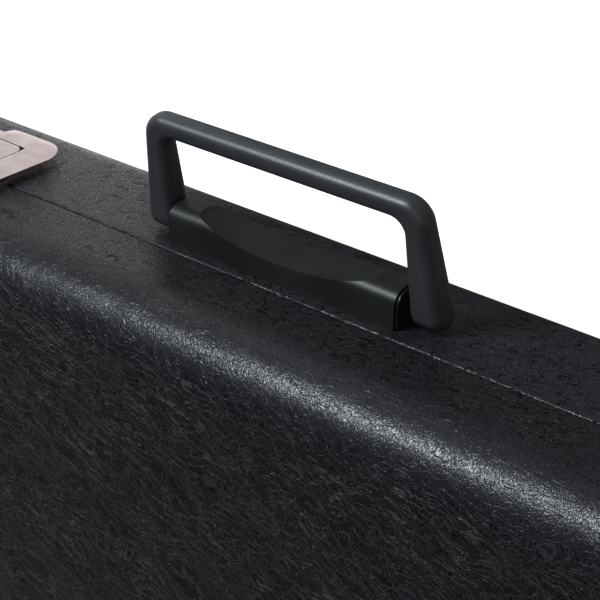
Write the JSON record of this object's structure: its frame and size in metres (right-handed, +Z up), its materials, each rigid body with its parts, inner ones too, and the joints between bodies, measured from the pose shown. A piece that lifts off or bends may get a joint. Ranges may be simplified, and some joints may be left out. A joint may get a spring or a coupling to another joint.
{
  "type": "recorder case",
  "caption": "Hard leatherette case in two moulded halves, with a folding plastic handle, flap latches, rear hinges and a fitted plush insert.",
  "frame": {"origin": "middle of the flat bottom face that the closed case lies on, halfway along its length and depth", "axes": "+X along the case, -Y towards the handle and latches, +Z up through the base and the lid"},
  "size_m": [0.55, 0.2985, 0.104],
  "materials": {
    "leatherette": "black leatherette, fine wrinkled grain, semi-gloss",
    "shell_plastic": "moulded shell, unpainted",
    "tongue_plastic": "satin black strip",
    "plush": "short-pile plush over foam",
    "handle_plastic": "satin moulded black plastic",
    "bush_plastic": "polished black plastic",
    "nickel": "bright nickel plate with soft brushing",
    "steel": "plain steel"
  },
  "bodies": {
    "case_base": {"base_cover": "leatherette", "base_shell": "shell_plastic", "rim_tongue": "tongue_plastic", "base_insert": "plush", "compartment_tray": "plush", "flap_pins": "steel", "handle_block": "handle_plastic", "handle_backing_plate": "steel", "handle_screws": "steel", "bail_pins": "steel", "bail_bushes": "bush_plastic", "latch_body_left": "nickel", "latch_body_right": "nickel", "latch_body_rivets": "nickel", "hinge_leaf_base_left": "nickel", "hinge_leaf_base_right": "nickel", "hinge_base_rivets": "nickel", "hinge_pin_left": "steel", "hinge_pin_right": "steel"},
    "case_lid": {"lid_cover": "leatherette", "lid_shell": "shell_plastic", "lid_lining": "plush", "lid_pad": "plush", "hinge_leaf_lid_left": "nickel", "hinge_leaf_lid_right": "nickel", "hinge_lid_rivets": "nickel", "latch_hinge_block_left": "nickel", "latch_hinge_block_right": "nickel", "latch_block_rivets": "nickel", "latch_pin_left": "steel", "latch_pin_right": "steel"},
    "handle": {"handle_bail": "handle_plastic"},
    "hasp_left": {"latch_hasp_left": "nickel", "button_spring_left": "steel"},
    "hasp_right": {"latch_hasp_right": "nickel", "button_spring_right": "steel"},
    "button_left": {"latch_button_left": "nickel"},
    "button_right": {"latch_button_right": "nickel"},
    "flap": {"compartment_flap": "plush", "flap_tab": "leatherette"}
  },
  "joints": [
    {"name": "lid_hinge", "type": "hinge", "parent": "case_base", "child": "case_lid", "pos_m": [0, 0.1236, 0.06], "axis": [-1, 0, 0], "range_deg": [0, 100]},
    {"name": "handle_swing", "type": "hinge", "parent": "case_base", "child": "handle", "pos_m": [0.00725, -0.1269, 0.045], "axis": [-1, 0, 0], "range_deg": [-98, 80]},
    {"name": "latch_swing_left", "type": "hinge", "parent": "case_lid", "child": "hasp_left", "pos_m": [-0.19075, -0.1244, 0.072], "axis": [-1, 0, 0], "range_deg": [0, 110]},
    {"name": "latch_press_left", "type": "slide", "parent": "hasp_left", "child": "button_left", "axis": [0, 1, 0], "range_m": [0, 0.0011], "stiffness_N_per_m": 600, "springref_m": -0.001},
    {"name": "latch_swing_right", "type": "hinge", "parent": "case_lid", "child": "hasp_right", "pos_m": [0.19075, -0.1244, 0.072], "axis": [-1, 0, 0], "range_deg": [0, 110]},
    {"name": "latch_press_right", "type": "slide", "parent": "hasp_right", "child": "button_right", "axis": [0, 1, 0], "range_m": [0, 0.0011], "stiffness_N_per_m": 600, "springref_m": -0.001},
    {"name": "flap_hinge", "type": "hinge", "parent": "case_base", "child": "flap", "pos_m": [0.112, 0.038, 0.0484], "axis": [1, 0, 0], "range_deg": [0, 95]}
  ]
}
